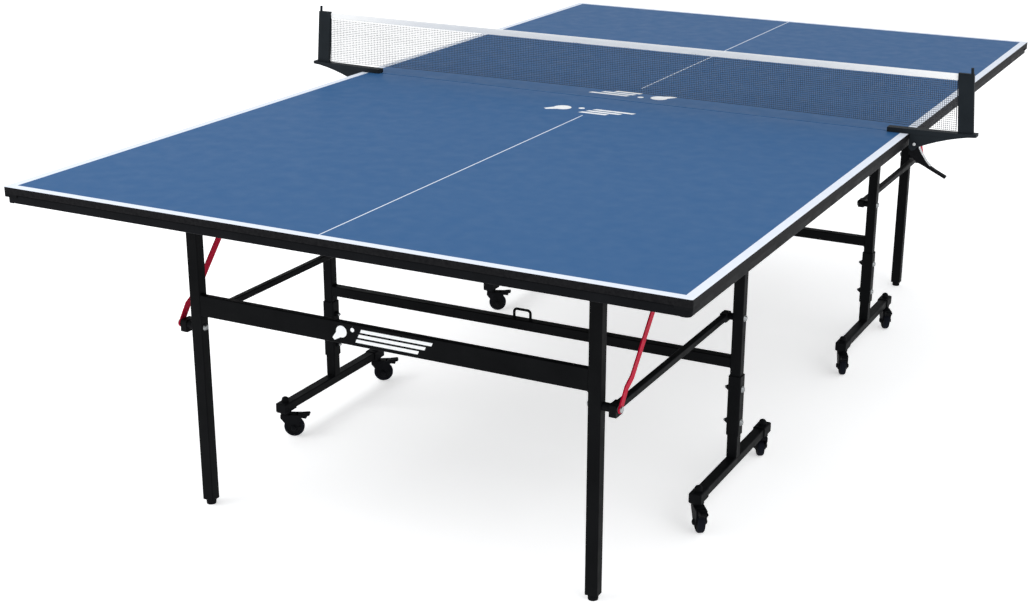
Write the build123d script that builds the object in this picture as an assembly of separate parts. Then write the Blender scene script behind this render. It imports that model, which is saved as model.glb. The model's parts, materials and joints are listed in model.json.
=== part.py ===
from build123d import *
import math
import os

# Folding table-tennis table on casters: two identical halves and a removable net set.
# X runs across the table (along the net), Y along its length, Z up from the floor.
# Half "a" lies at Y < 0. Half "b" is the same half turned half a turn about Z.
# Every length is in millimetres.

# ---- Driving dimensions: playing surface ----
TABLE_W = 1525.0
TABLE_L = 2740.0
TABLE_H = 760.0
BOARD_T = 15.0
BOARD_CORNER_R = 4.0
HALF_GAP = 2.5            # from the net line to each half's inner edge

# ---- Apron and under-frame ----
APRON_H = 19.0
APRON_W = 20.0
APRON_WALL = 1.5
APRON_SIDE_INSET = 4.0
APRON_END_INSET = 2.0
APRON_CORNER_R = 12.0
NET_RAIL_H = 14.0
CAP_ARM = 34.0
CAP_H = 6.0
BEARER_Y = (-1230.0, -985.0, -700.0, -280.0)
BEARER_W = 30.0
BEARER_LIFT = 1.0         # above the apron's lower edge

# ---- Folding linkage: a parallelogram in the YZ plane ----
PIVOT_Z = 712.0
POST_Y = -522.0
LEG_Y = -1125.0
BRACE_Z = 424.0
STAY_TOP_Y = -867.0
PIN_R = 4.0
RUN_FIT = 0.05
EAR_T = 2.5
EAR_R = 13.0
EAR_GAP = 0.7
FLANGE_T = 3.0
FLANGE_REACH = 28.6       # from an ear's pin to each end of its flange
STAY_FLANGE_W = 39.0
PIN_HEAD_R = 7.0
PIN_HEAD_T = 2.5
STAY_HEAD_T = 1.7
SIDE_PLAY = 0.5           # left beside a strip or brace that swings on a pin

# ---- Chassis ----
TUBE = 25.0
TUBE_WALL = 1.5
TUBE_R = 2.5
POST_X = 545.0
FOOT_BAR_W = 25.0
FOOT_BAR_BOTTOM = 67.0
FOOT_BAR_H = 21.0
FOOT_BAR_OUT = -752.0     # ends of the foot bar
FOOT_BAR_IN = -305.0
SLEEVE = 30.0
SLEEVE_R = 3.5
SLEEVE_Z = (143.0, 287.0)
SLEEVE_BOLT_Z = (173.0, 254.0)
CROSSBAR_Z = (305.0, 330.0)
LOOP_W = 50.0
LOOP_H = 26.0
LOOP_WIRE_R = 3.3
LOOP_BEND_R = 8.0
SOCKET_LEN = 46.0
SOCKET_W = 30.0
SOCKET_Z = (61.0, 90.0)   # from the hub's lower face to the socket's top
SOCKET_HUB_R = 14.0
SOCKET_HUB_H = 8.0
SOCKET_OUT_SHARE = 0.55   # how much of the socket lies outside its caster's stem
SOCKET_BODY_LIFT = 4.0
SOCKET_EDGE_R = 3.5
SOCKET_CHAMFER = 2.0
BOSS_R = 8.4              # the socket's boss inside the foot bar
BOSS_FIT = 0.1
BOSS_TOP_GAP = 1.0
STEM_BORE_TOP = 80.0
BOLT_HEAD_R = 8.0
BOLT_HEAD_H = 5.0
BOLT_HEAD_TIP_R = 5.0
ACORN_R = 7.5             # across the corners of its hexagon, halved
ACORN_HEX_H = 4.5
ACORN_DOME_R = 6.0
ACORN_DOME_H = 7.0
ACORN_TIP_R = 2.5
BRACE_HEAD_R = 7.5
BRACE_HEAD_T = 3.0
COLLAR_R = 8.0            # the collar between a brace and its post

# ---- End legs and band ----
LEG_X = 476.0
LEG_W = 28.0
LEG_D = 25.0
BAND_Z = (453.0, 501.0)
BAND_T = 15.0
BAND_FRONT_Y = -1137.0
LEVELLER_TRAVEL_GAP = 0.3
LEVELLER_H = 12.0
LEVELLER_R = 10.5
LEVELLER_EDGE_R = 2.0
FOOT_PLUG_H = 25.0
STUD_END_GAP = 2.0
STUD_R = 4.0
LEG_WASHER_R = 6.5
LEG_WASHER_T = 1.2
LEG_WASHER_PLAY = 0.4
LEG_SPACER_R = 9.0        # the spacer between a leg and its brace

# ---- Braces and red stays ----
BRACE = 15.0
BRACE_X = 514.0
BRACE_CAP = 20.0
BRACE_CAP_LEN = 24.0
BRACE_CAP_R = 4.0
BRACE_TOE = 7.5           # how far the moulded end reaches below the leg bolt
STAY_X = (525.2, 528.2)
STAY_W = 17.0
STAY_KINK = 58.0          # from the lower bolt to the middle of the dog-leg
STAY_KINK_RAMP = 14.0
STAY_KINK_SHIFT = 6.0     # how far the upper part is set in
STAY_KINK_BULGE = 4.0     # how far the lower part swings out
STAY_NUT_R = 6.5
STAY_NUT_T = 3.4

# ---- Casters ----
CASTER_Y = (-735.0, -322.0)
WHEEL_R = 25.0
WHEEL_W = 17.0
TREAD_ROUND = 5.5
RIM_R = 18.0              # outer radius of the recess in each face
RIM_DEPTH = 2.5
HUB_R = 8.0
CASTER_TRAIL = 20.0
AXLE_R = 4.0
AXLE_PROUD = 1.5
STEM_R = 5.5
STEM_TOP_GAP = 2.0
CROWN_X = (-12.0, 26.0)
CROWN_GAP = 2.0           # between the tread's top and the crown
SWIVEL_R = 12.0
FORK_TOP = 58.0
FORK_T = 3.0
FORK_GAP = 1.1
BRAKE_PIVOT = (33.0, 53.0)
BRAKE_PIN_R = 2.0
BRAKE_PLAY = 0.6
HEADING = {               # which way each caster trails, as an angle from +X
    "a_left_outer": 26.0, "a_left_inner": 32.0, "a_right_outer": -54.0, "a_right_inner": 118.0,
    "b_left_outer": 28.0, "b_left_inner": 26.0, "b_right_outer": -60.0, "b_right_inner": -66.0,
}

# ---- Net set ----
NET_H = 152.5
NET_T = 1.4
NET_LOW_END = 777.0       # lower edge beside the posts
NET_LOW_MID = 784.0       # lower edge at the middle
NET_X = 863.0
NET_POST_X = (866.0, 902.5)   # at the top
NET_POST_LEAN = 10.5          # how much further out the posts stand at the arm
NET_POST_T = 9.0
NET_POST_PROUD = 2.0          # above the net's top edge
NET_INSET = 1.0               # keeps the net's lower corners off the posts
ROD_X = 898.0
ROD_R = 3.4
ROD_PROUD = 14.0              # how far the tension rod stands above its sleeve
ROD_LIFT = 3.0                # from the arm to the rod's foot
ARM_X = (710.0, 922.0)
ARM_W = 24.0
ARM_T = 11.0                  # at the inner end
ARM_TIP_T = 7.5               # at the outer end
ARM_CROWN = 2.0               # how much higher its top is at the bend than at the inner end
ARM_LEVEL_X = 800.0           # the underside is level up to here
ARM_BEND_X = 866.0            # the underside steepens beyond here
ARM_BEND_RISE = 3.0
ARM_TIP_RISE = 8.2
ARM_CLEAR = 0.3
CHEEK_T = 3.0
CHEEK_GAP = 16.0
CHEEK_ROOT_X = 905.0          # where the cheek's curve leaves the arm
LEVER_W = 13.0
LEVER_PIVOT = (778.0, 737.0)
LEVER_PIN_R = 3.0
LEVER_PIN_PROUD = 1.5

HALF_W = TABLE_W / 2
BOARD_BOTTOM = TABLE_H - BOARD_T
APRON_BOTTOM = BOARD_BOTTOM - APRON_H
END_Y = -TABLE_L / 2
NODES = {}
CUT = 1.0                 # how far a cutting body runs past the faces that it cuts


def box(x, y, z):
    """A box between two limits on each axis."""
    size = (x[1] - x[0], y[1] - y[0], z[1] - z[0])
    centre = ((x[0] + x[1]) / 2, (y[0] + y[1]) / 2, (z[0] + z[1]) / 2)
    return Pos(*centre) * Box(*size)


def rod_x(x0, x1, y, z, r):
    """A round bar along X."""
    return Pos((x0 + x1) / 2, y, z) * Rot(0, 90, 0) * Cylinder(r, abs(x1 - x0))


def rod_y(y0, y1, x, z, r):
    """A round bar along Y."""
    return Pos(x, (y0 + y1) / 2, z) * Rot(90, 0, 0) * Cylinder(r, abs(y1 - y0))


def rod_z(z0, z1, x, y, r):
    """A round bar along Z."""
    return Pos(x, y, (z0 + z1) / 2) * Cylinder(r, z1 - z0)


def tube(x, y, z, axis, wall=TUBE_WALL, radius=TUBE_R):
    """A rectangular steel tube with rounded edges, open at both ends."""
    outer = box(x, y, z)
    outer = fillet(outer.edges().filter_by(axis), radius)
    limits = [(lo + wall, hi - wall) for lo, hi in (x, y, z)]
    run = {Axis.X: 0, Axis.Y: 1, Axis.Z: 2}[axis]
    limits[run] = ((x, y, z)[run][0] - CUT, (x, y, z)[run][1] + CUT)
    return outer - box(*limits)


def plate_x(points, x0, x1):
    """A flat plate across X, from an outline of (Y, Z) points."""
    face = make_face(Polyline([(0, y, z) for y, z in points], close=True))
    return extrude(Pos(x0, 0, 0) * face, amount=x1 - x0, dir=(1, 0, 0))


def plate_y(points, y0, y1):
    """A flat plate across Y, from an outline of (X, Z) points."""
    face = make_face(Polyline([(x, 0, z) for x, z in points], close=True))
    return extrude(Pos(0, y0, 0) * face, amount=y1 - y0, dir=(0, 1, 0))


def solids_of(shape):
    """The separate solids of a shape or of a list of shapes."""
    if isinstance(shape, (list, tuple)):
        return [s for item in shape for s in solids_of(item)]
    return list(shape.solids())


def mirrored(shapes):
    """A shape on the +X side and its mirror image on the -X side."""
    right = solids_of(shapes)
    return right + [mirror(s, about=Plane.YZ) for s in right]


def keep(node, shapes, half):
    """Store a node's solids, turned half a turn about Z for half b."""
    parts = solids_of(shapes)
    if half == "b":
        parts = [Rot(0, 0, 180) * p for p in parts]
    NODES[node] = Compound(children=parts)


def ear(y, x0, x1, pin_r):
    """A hinge ear hanging from the under-frame, with its pin hole."""
    neck = box((x0, x1), (y - EAR_R, y + EAR_R), (PIVOT_Z, BOARD_BOTTOM))
    lobe = rod_x(x0, x1, y, PIVOT_Z, EAR_R)
    hole = rod_x(x0 - CUT, x1 + CUT, y, PIVOT_Z, pin_r)
    return neck + lobe - hole


# ---- Tabletop ----
def board():
    blank = box((-HALF_W, HALF_W), (END_Y, -HALF_GAP), (BOARD_BOTTOM, TABLE_H))
    return fillet(blank.edges().filter_by(Axis.Z), BOARD_CORNER_R)


def apron():
    """Four hollow rails under the board's edge, rounded where the sides meet the end."""
    side = HALF_W - APRON_SIDE_INSET
    end = END_Y + APRON_END_INSET
    z = (APRON_BOTTOM, BOARD_BOTTOM)
    rail = tube((side - APRON_W, side), (end, -HALF_GAP), z, Axis.Y, APRON_WALL)
    tall = (z[0] - CUT, z[1] + CUT)
    block = box((side - APRON_CORNER_R, side + CUT), (end - CUT, end + APRON_CORNER_R), tall)
    round_off = block - rod_z(*tall, side - APRON_CORNER_R, end + APRON_CORNER_R, APRON_CORNER_R)
    end_plug = box((side - APRON_W + APRON_WALL, side - APRON_WALL), (end, end + APRON_CORNER_R),
                   (z[0] + APRON_WALL, z[1] - APRON_WALL))
    sides = mirrored(rail + end_plug - round_off)
    inner = (-side + APRON_W, side - APRON_W)
    end_rail = tube(inner, (end, end + APRON_W), z, Axis.X, APRON_WALL)
    net_z = (BOARD_BOTTOM - NET_RAIL_H, BOARD_BOTTOM)
    net_rail = tube(inner, (-HALF_GAP - APRON_W, -HALF_GAP), net_z, Axis.X, APRON_WALL)
    return sides + [end_rail, net_rail]


def corner_caps():
    """Moulded caps under the board's end corners, round the apron's rounded corner."""
    x = HALF_W - APRON_SIDE_INSET
    end = END_Y + APRON_END_INSET
    z = (BOARD_BOTTOM - CAP_H, BOARD_BOTTOM)
    cap = box((HALF_W - CAP_ARM, HALF_W), (END_Y, END_Y + CAP_ARM), z)
    corner = cap.edges().filter_by(Axis.Z).sort_by(Axis.X)[-2:].sort_by(Axis.Y)[0]
    cap = fillet(corner, BOARD_CORNER_R)
    rail = box((HALF_W - CAP_ARM - CUT, x), (end, END_Y + CAP_ARM + CUT), (z[0] - CUT, z[1] + CUT))
    outer = rail.edges().filter_by(Axis.Z).sort_by(Axis.X)[-2:].sort_by(Axis.Y)[0]
    return mirrored(cap - fillet(outer, APRON_CORNER_R))


def under_frame():
    """Cross bearers under the board, and the brackets that carry the hinge pins."""
    side = HALF_W - APRON_SIDE_INSET - APRON_W
    z = (APRON_BOTTOM + BEARER_LIFT, BOARD_BOTTOM)
    parts = []
    for y in BEARER_Y:
        parts.append(tube((-side, side), (y - BEARER_W / 2, y + BEARER_W / 2), z, Axis.X))
    for x0, x1, y, r in ear_list():
        parts += mirrored(ear(y, x0, x1, r))
    top = (BOARD_BOTTOM - FLANGE_T, BOARD_BOTTOM)
    post_in = POST_X - TUBE / 2 - EAR_GAP
    post_out = POST_X + TUBE / 2 + EAR_GAP
    leg_in = LEG_X - LEG_W / 2 - EAR_GAP
    leg_out = LEG_X + LEG_W / 2 + EAR_GAP
    parts += mirrored(box((post_in, post_out), (POST_Y - FLANGE_REACH, POST_Y + FLANGE_REACH), top))
    parts += mirrored(box((leg_in, leg_out), (LEG_Y - FLANGE_REACH, LEG_Y + FLANGE_REACH), top))
    tab = (post_in, post_in + STAY_FLANGE_W)
    parts += mirrored(box(tab, (STAY_TOP_Y - FLANGE_REACH, STAY_TOP_Y + FLANGE_REACH), top))
    return parts


def ear_list():
    """Each hinge ear on the +X side: its two faces, its pin's Y and the pin's radius."""
    post_in = POST_X - TUBE / 2 - EAR_GAP
    post_out = POST_X + TUBE / 2 + EAR_GAP
    leg_in = LEG_X - LEG_W / 2 - EAR_GAP
    leg_out = LEG_X + LEG_W / 2 + EAR_GAP
    return [
        (post_in - EAR_T, post_in, POST_Y, PIN_R),
        (post_out, post_out + EAR_T, POST_Y, PIN_R),
        (leg_in - EAR_T, leg_in, LEG_Y, PIN_R),
        (leg_out, leg_out + EAR_T, LEG_Y, PIN_R),
        (post_in - EAR_T, post_in, STAY_TOP_Y, STUD_R),
    ]


def hinge_pins():
    """Headed pins through the ears: post, leg and stay, one of each per side."""
    ears = ear_list()
    post = rod_x(ears[0][0], ears[1][1], POST_Y, PIVOT_Z, PIN_R)
    post += rod_x(ears[1][1], ears[1][1] + PIN_HEAD_T, POST_Y, PIVOT_Z, PIN_HEAD_R)
    leg = rod_x(ears[2][0], ears[3][1], LEG_Y, PIVOT_Z, PIN_R)
    leg += rod_x(ears[2][0] - PIN_HEAD_T, ears[2][0], LEG_Y, PIVOT_Z, PIN_HEAD_R)
    leg += rod_x(ears[3][1], ears[3][1] + PIN_HEAD_T, LEG_Y, PIVOT_Z, PIN_HEAD_R)
    inner = STAY_X[0] - SIDE_PLAY
    stay = rod_x(inner, ears[4][1], STAY_TOP_Y, PIVOT_Z, STUD_R)
    stay += rod_x(inner - STAY_HEAD_T, inner, STAY_TOP_Y, PIVOT_Z, PIN_HEAD_R)
    stay += rod_x(ears[4][1], ears[4][1] + PIN_HEAD_T, STAY_TOP_Y, PIVOT_Z, PIN_HEAD_R)
    return mirrored([post, leg, stay])


# ---- Chassis ----
def posts():
    """Two upright tubes and the crossbar that joins them."""
    x = (POST_X - TUBE / 2, POST_X + TUBE / 2)
    y = (POST_Y - TUBE / 2, POST_Y + TUBE / 2)
    top = PIVOT_Z + TUBE / 2
    post = tube(x, y, (FOOT_BAR_BOTTOM + FOOT_BAR_H, top), Axis.Z)
    post -= rod_x(x[0] - CUT, x[1] + CUT, POST_Y, PIVOT_Z, PIN_R + RUN_FIT)
    for z in SLEEVE_BOLT_Z:
        post -= rod_x(x[0] - CUT, x[1] + CUT, POST_Y, z, PIN_R)
    post -= rod_x(x[0] - CUT, x[1] + CUT, POST_Y, BRACE_Z, PIN_R)
    crossbar = tube((-x[0], x[0]), y, CROSSBAR_Z, Axis.X)
    return mirrored(post) + [crossbar]


def post_sleeves():
    """Height sleeves clamped round the foot of each post."""
    x = (POST_X - SLEEVE / 2, POST_X + SLEEVE / 2)
    y = (POST_Y - SLEEVE / 2, POST_Y + SLEEVE / 2)
    sleeve = box(x, y, SLEEVE_Z)
    sleeve = fillet(sleeve.edges().filter_by(Axis.Z), SLEEVE_R)
    core = box((POST_X - TUBE / 2, POST_X + TUBE / 2), (POST_Y - TUBE / 2, POST_Y + TUBE / 2),
               (SLEEVE_Z[0] - CUT, SLEEVE_Z[1] + CUT))
    core = fillet(core.edges().filter_by(Axis.Z), TUBE_R)
    sleeve -= core
    for z in SLEEVE_BOLT_Z:
        sleeve -= rod_x(x[0] - CUT, x[1] + CUT, POST_Y, z, PIN_R)
    return mirrored(sleeve)


def foot_bars():
    x = (POST_X - FOOT_BAR_W / 2, POST_X + FOOT_BAR_W / 2)
    z = (FOOT_BAR_BOTTOM, FOOT_BAR_BOTTOM + FOOT_BAR_H)
    bar = tube(x, (FOOT_BAR_OUT, FOOT_BAR_IN), z, Axis.Y)
    for y in CASTER_Y:
        bar -= rod_z(z[0] - CUT, z[0] + TUBE_WALL + CUT, POST_X, y, BOSS_R + BOSS_FIT)
    return mirrored(bar)


def foot_end_caps():
    """Moulded sockets round the ends of the foot bars: each holds a caster's stem."""
    bar_x = (POST_X - FOOT_BAR_W / 2, POST_X + FOOT_BAR_W / 2)
    bar_z = (FOOT_BAR_BOTTOM, FOOT_BAR_BOTTOM + FOOT_BAR_H)
    bar = box(bar_x, (FOOT_BAR_OUT, FOOT_BAR_IN), bar_z)
    bar = fillet(bar.edges().filter_by(Axis.Y), TUBE_R)
    caps = []
    for end, y in zip((-1, 1), CASTER_Y):
        outside = SOCKET_LEN * SOCKET_OUT_SHARE
        span = sorted((y - end * outside, y + end * (SOCKET_LEN - outside)))
        x = (POST_X - SOCKET_W / 2, POST_X + SOCKET_W / 2)
        block = box(x, span, (SOCKET_Z[0] + SOCKET_BODY_LIFT, SOCKET_Z[1]))
        block = fillet(block.edges().filter_by(Axis.Y), SOCKET_EDGE_R)
        block = chamfer(block.faces().sort_by(Axis.Y)[0 if end < 0 else -1].edges(), SOCKET_CHAMFER)
        hub = rod_z(SOCKET_Z[0], SOCKET_Z[0] + SOCKET_HUB_H, POST_X, y, SOCKET_HUB_R)
        cap = block + hub - bar
        boss = rod_z(FOOT_BAR_BOTTOM, bar_z[1] - TUBE_WALL - BOSS_TOP_GAP, POST_X, y, BOSS_R)
        cap += boss
        cap -= rod_z(SOCKET_Z[0] - CUT, STEM_BORE_TOP, POST_X, y, STEM_R + RUN_FIT)
        caps += mirrored(max(cap.solids(), key=lambda s: s.volume))
    return caps


def taper(x, y, z, r0, r1, height, outward):
    """A tapered bolt head or nut dome standing on a face across X."""
    cone = Cone(r0, r1, height, align=(Align.CENTER, Align.CENTER, Align.MIN))
    return Pos(x, y, z) * Rot(0, 90 if outward else -90, 0) * cone


def acorn_bolt(inner, outer, z):
    """A cross bolt along X through a post: domed head outside, acorn nut inside."""
    bolt = rod_x(inner, outer, POST_Y, z, PIN_R)
    bolt += taper(outer, POST_Y, z, BOLT_HEAD_R, BOLT_HEAD_TIP_R, BOLT_HEAD_H, True)
    bolt += Pos(inner, POST_Y, z) * Rot(0, -90, 0) * extrude(RegularPolygon(ACORN_R, 6), ACORN_HEX_H)
    bolt += taper(inner - ACORN_HEX_H, POST_Y, z, ACORN_DOME_R, ACORN_TIP_R, ACORN_DOME_H, False)
    return bolt


def chassis_bolts():
    """Sleeve bolts, and the bolt that carries each brace on its post."""
    bolts = []
    inner = POST_X - SLEEVE / 2
    outer = POST_X + SLEEVE / 2
    for z in SLEEVE_BOLT_Z:
        bolts.append(acorn_bolt(inner, outer, z))
    post_out = POST_X + TUBE / 2
    head_x = BRACE_X - BRACE / 2 - SIDE_PLAY
    brace_bolt = rod_x(head_x, post_out, POST_Y, BRACE_Z, PIN_R)
    brace_bolt += rod_x(head_x - BRACE_HEAD_T, head_x, POST_Y, BRACE_Z, BRACE_HEAD_R)
    brace_bolt += taper(post_out, POST_Y, BRACE_Z, BOLT_HEAD_R, BOLT_HEAD_TIP_R, BOLT_HEAD_H, True)
    collar = rod_x(BRACE_X + BRACE / 2 + SIDE_PLAY, POST_X - TUBE / 2, POST_Y, BRACE_Z, COLLAR_R)
    bolts.append(brace_bolt + collar)
    return mirrored(bolts)


def latch_loop():
    """Bent wire loop standing on the middle of the crossbar."""
    z0 = CROSSBAR_Z[1]
    half = LOOP_W / 2 - LOOP_WIRE_R
    top = z0 + LOOP_H - LOOP_WIRE_R
    path = FilletPolyline((-half, POST_Y, z0), (-half, POST_Y, top), (half, POST_Y, top),
                          (half, POST_Y, z0), radius=LOOP_BEND_R)
    section = Plane(origin=path @ 0, z_dir=path % 0) * Circle(LOOP_WIRE_R)
    return sweep(section, path=path)


# ---- End leg frame ----
def end_legs():
    """Two end legs with foot plugs, and the wide band between them."""
    x = (LEG_X - LEG_W / 2, LEG_X + LEG_W / 2)
    y = (LEG_Y - LEG_D / 2, LEG_Y + LEG_D / 2)
    leg = tube(x, y, (LEVELLER_H, PIVOT_Z + LEG_D / 2), Axis.Z)
    plug = box((x[0] + TUBE_WALL, x[1] - TUBE_WALL), (y[0] + TUBE_WALL, y[1] - TUBE_WALL),
               (LEVELLER_H, LEVELLER_H + FOOT_PLUG_H))
    leg += plug
    leg -= rod_z(0, LEVELLER_H + FOOT_PLUG_H + CUT, LEG_X, LEG_Y, STUD_R + RUN_FIT)
    leg -= rod_x(x[0] - CUT, x[1] + CUT, LEG_Y, PIVOT_Z, PIN_R + RUN_FIT)
    leg -= rod_x(x[0] - CUT, x[1] + CUT, LEG_Y, BRACE_Z, PIN_R)
    band = tube((-x[0], x[0]), (BAND_FRONT_Y, BAND_FRONT_Y + BAND_T), BAND_Z, Axis.X)
    return mirrored(leg) + [band]


def leg_bolts():
    """Bolt and spacer that carry the brace's end on each leg."""
    leg_in = LEG_X - LEG_W / 2
    leg_out = LEG_X + LEG_W / 2
    washer = BRACE_X + BRACE / 2 + LEG_WASHER_PLAY
    bolt = rod_x(leg_in, washer, LEG_Y, BRACE_Z, PIN_R)
    bolt += taper(leg_in, LEG_Y, BRACE_Z, BOLT_HEAD_R, BOLT_HEAD_TIP_R, BOLT_HEAD_H, False)
    bolt += rod_x(washer, washer + LEG_WASHER_T, LEG_Y, BRACE_Z, LEG_WASHER_R)
    bolt += rod_x(leg_out, BRACE_X - BRACE / 2 - SIDE_PLAY, LEG_Y, BRACE_Z, LEG_SPACER_R)
    return mirrored(bolt)


def levellers(side):
    """Screw-in levelling foot under one end leg; side is +1 or -1 in X."""
    x = side * LEG_X
    pad_top = LEVELLER_H - LEVELLER_TRAVEL_GAP
    pad = rod_z(0, pad_top, x, LEG_Y, LEVELLER_R)
    pad = fillet(pad.edges().sort_by(Axis.Z)[-1], LEVELLER_EDGE_R)
    return pad + rod_z(pad_top - CUT, LEVELLER_H + FOOT_PLUG_H - STUD_END_GAP, x, LEG_Y, STUD_R)


# ---- Braces and stays ----
def braces():
    """Level braces between leg and post, with moulded ends round their bolts."""
    x = (BRACE_X - BRACE / 2, BRACE_X + BRACE / 2)
    reach = BRACE_CAP / 2
    bar = box(x, (LEG_Y, POST_Y), (BRACE_Z - BRACE / 2, BRACE_Z + BRACE / 2))
    bar = fillet(bar.edges().filter_by(Axis.Y), TUBE_R)
    for y, way, toe in ((LEG_Y, 1, BRACE_TOE), (POST_Y, -1, 0.0)):
        span = sorted((y - way * reach, y + way * BRACE_CAP_LEN))
        cap = box(x, span, (BRACE_Z - reach - toe, BRACE_Z + reach))
        bar += fillet(cap.edges().filter_by(Axis.X), BRACE_CAP_R)
        bar -= rod_x(x[0] - CUT, x[1] + CUT, y, BRACE_Z, PIN_R + RUN_FIT)
    return mirrored(bar)


def red_stays():
    """Flat strips with a small dog-leg near the lower end, and a thin nut there."""
    dy = LEG_Y - STAY_TOP_Y
    dz = BRACE_Z - PIVOT_Z
    length = math.hypot(dy, dz)
    u = Vector(0, dy / length, dz / length)
    n = Vector(0, -u.Z, u.Y)
    top = Vector(0, STAY_TOP_Y, PIVOT_Z)

    def at(along, across):
        p = top + u * along + n * across
        return (p.Y, p.Z)

    half = STAY_W / 2
    bend = length - STAY_KINK
    step = STAY_KINK_SHIFT
    bulge = STAY_KINK_BULGE
    high = bend - STAY_KINK_RAMP
    low = bend + STAY_KINK_RAMP
    outline = [at(0, half + step), at(high, half + step), at(low, half - bulge), at(length, half),
               at(length, -half), at(low, -half - bulge), at(high, -half + step), at(0, -half + step)]
    strip = plate_x(outline, *STAY_X)
    strip += rod_x(*STAY_X, STAY_TOP_Y, PIVOT_Z, half + step)
    strip += rod_x(*STAY_X, LEG_Y, BRACE_Z, half)
    strip -= rod_x(STAY_X[0] - CUT, STAY_X[1] + CUT, STAY_TOP_Y, PIVOT_Z, STUD_R + RUN_FIT)
    strip += rod_x(STAY_X[1], STAY_X[1] + STAY_NUT_T, LEG_Y, BRACE_Z, STAY_NUT_R)
    return mirrored(strip)


# ---- Casters ----
def caster_place(name, y_out, half):
    """Placement of a caster whose local +X trails from the stem and local +Y is its axle."""
    side = -1 if "_left_" in name else 1
    turn = HEADING[name]
    if half == "b":
        side = -side
        turn = turn - 180.0
    return Pos(side * POST_X, y_out, 0) * Rot(0, 0, turn)


def caster_fork():
    """Moulded fork: stem, crown, two cheeks, brake ears and the axle."""
    inner = WHEEL_W / 2 + FORK_GAP
    outer = inner + FORK_T
    crown_z = WHEEL_R * 2 + CROWN_GAP
    cheek_points = [(CROWN_X[0], FORK_TOP), (CROWN_X[0], crown_z - 2), (CASTER_TRAIL - 11, WHEEL_R - 3),
                    (CASTER_TRAIL - 5, WHEEL_R - 9), (CASTER_TRAIL + 5, WHEEL_R - 9),
                    (CASTER_TRAIL + 11, WHEEL_R), (38, crown_z - 5), (38, FORK_TOP)]
    cheek = plate_y(cheek_points, inner, outer)
    crown = box(CROWN_X, (-outer, outer), (crown_z, FORK_TOP))
    hub = rod_z(crown_z, SOCKET_Z[0] - SIDE_PLAY, 0, 0, SWIVEL_R)
    stem = rod_z(FORK_TOP, STEM_BORE_TOP - STEM_TOP_GAP, 0, 0, STEM_R)
    axle_end = outer + AXLE_PROUD
    axle = rod_y(-axle_end, axle_end, CASTER_TRAIL, WHEEL_R, AXLE_R)
    brake_pin = rod_y(-outer, outer, BRAKE_PIVOT[0], BRAKE_PIVOT[1], BRAKE_PIN_R)
    return crown + cheek + mirror(cheek, about=Plane.XZ) + hub + stem + axle + brake_pin


def caster_wheel():
    """Wheel with a rounded tread, recessed faces and a raised hub."""
    wheel = rod_y(-WHEEL_W / 2, WHEEL_W / 2, CASTER_TRAIL, WHEEL_R, WHEEL_R)
    wheel = fillet(wheel.edges(), TREAD_ROUND)
    for face in (-1, 1):
        y0, y1 = sorted((face * (WHEEL_W / 2 - RIM_DEPTH), face * (WHEEL_W / 2 + CUT)))
        ring = rod_y(y0, y1, CASTER_TRAIL, WHEEL_R, RIM_R)
        ring -= rod_y(y0, y1, CASTER_TRAIL, WHEEL_R, HUB_R)
        wheel -= ring
    return wheel - rod_y(-WHEEL_W, WHEEL_W, CASTER_TRAIL, WHEEL_R, AXLE_R + RUN_FIT)


def caster_brake():
    """Brake pedal hinged on the fork's rear pin."""
    half = WHEEL_W / 2 + FORK_GAP - BRAKE_PLAY
    lower = [(29.5, 50.5), (36, 49), (42, 49.5), (50, 48), (52.5, 51), (50, 54)]
    upper = [(58, 55.5), (60, 58), (58.5, 61), (46, 60), (36, 59), (31, 58), (29.5, 55.5)]
    pedal = plate_y(lower + upper, -half, half)
    return pedal - rod_y(-half - CUT, half + CUT, BRAKE_PIVOT[0], BRAKE_PIVOT[1], BRAKE_PIN_R + RUN_FIT)


def casters(half):
    """Four casters of one half, each as a fork, a wheel and a brake pedal."""
    for side in ("left", "right"):
        for where, y in zip(("outer", "inner"), CASTER_Y):
            tail = half + "_" + side + "_" + where
            spot = caster_place(tail, y, half)
            keep("caster_fork_" + tail, spot * caster_fork(), half)
            keep("caster_wheel_" + tail, spot * caster_wheel(), half)
            keep("caster_brake_" + tail, spot * caster_brake(), half)


# ---- Net set ----
def arm_top(x):
    """Height of the net arm's upper face."""
    bend = TABLE_H + ARM_CLEAR + ARM_T + ARM_CROWN
    tip = TABLE_H + ARM_CLEAR + ARM_TIP_RISE + ARM_TIP_T
    if x < ARM_BEND_X:
        return bend - ARM_CROWN * (ARM_BEND_X - x) / (ARM_BEND_X - ARM_X[0])
    return bend + (tip - bend) * (x - ARM_BEND_X) / (ARM_X[1] - ARM_BEND_X)


def net():
    """The net and its tape as one thin panel, from post to post, just clear of the arms."""
    foot = NET_X + NET_POST_LEAN - NET_INSET
    right = [(foot, NET_LOW_END), (NET_X, TABLE_H + NET_H)]
    left = [(-x, z) for x, z in reversed(right)]
    return plate_y([(0, NET_LOW_MID)] + right + left, -NET_T / 2, NET_T / 2)


def net_post():
    """The leaning sleeve that holds the net's end, and the tension rod down its outer edge."""
    top_z = TABLE_H + NET_H + NET_POST_PROUD
    foot = [x + NET_POST_LEAN for x in NET_POST_X]
    outline = [(foot[0], arm_top(foot[0])), (foot[1], arm_top(foot[1])),
               (NET_POST_X[1], top_z), (NET_POST_X[0], top_z)]
    sleeve = plate_y(outline, -NET_POST_T / 2, NET_POST_T / 2)
    rise = top_z - arm_top(foot[1])
    drop = rise - ROD_LIFT
    tilt = math.degrees(math.atan2(NET_POST_LEAN, rise))
    bar = Pos(0, 0, (ROD_PROUD - drop) / 2) * Cylinder(ROD_R, drop + ROD_PROUD)
    rod = Pos(ROD_X, 0, top_z) * Rot(0, -tilt, 0) * bar
    return [sleeve - rod, rod]


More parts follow.
